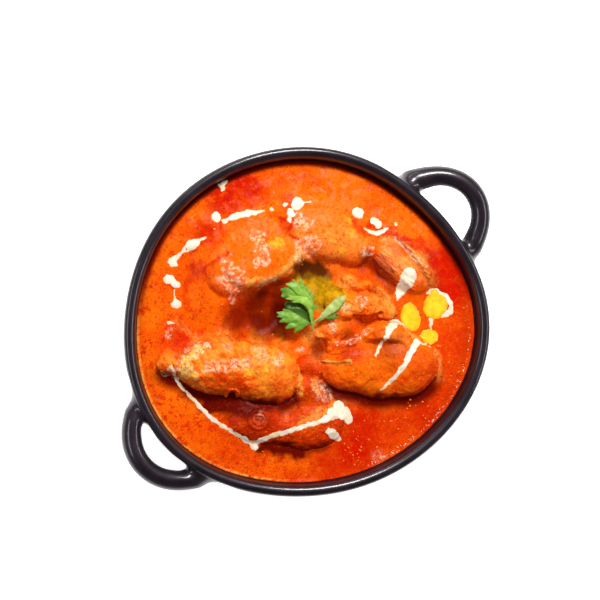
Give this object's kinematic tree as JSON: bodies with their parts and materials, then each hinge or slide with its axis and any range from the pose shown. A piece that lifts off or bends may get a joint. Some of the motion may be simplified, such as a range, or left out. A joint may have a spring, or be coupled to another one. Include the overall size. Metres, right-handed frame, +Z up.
{
  "type": "bowl of butter chicken curry",
  "caption": "Butter chicken curry with cream and coriander in its dark stoneware bowl with two loop handles, standing on its foot ring.",
  "frame": {"origin": "middle of the bounding box's bottom, on the surface that the bowl stands on", "axes": "+Z up; +X along the line through both handles, from the handle beside the front left piece of chicken to the other; +Y away from the side with the two large front pieces"},
  "size_m": [0.2148, 0.1693, 0.0563],
  "materials": {
    "bowl_glaze": "gloss",
    "curry_gravy": "gloss",
    "chicken": "satin",
    "coriander": "satin",
    "cream": "satin",
    "butter": "gloss"
  },
  "bodies": {
    "root": {"bowl": "bowl_glaze", "curry_gravy": "curry_gravy", "chicken_front_left": "chicken", "chicken_front_right": "chicken", "chicken_back_left": "chicken", "chicken_back": "chicken", "chicken_right": "chicken", "chicken_centre": "chicken", "chicken_front_centre": "chicken", "coriander_sprig": "coriander"}
  },
  "joints": []
}
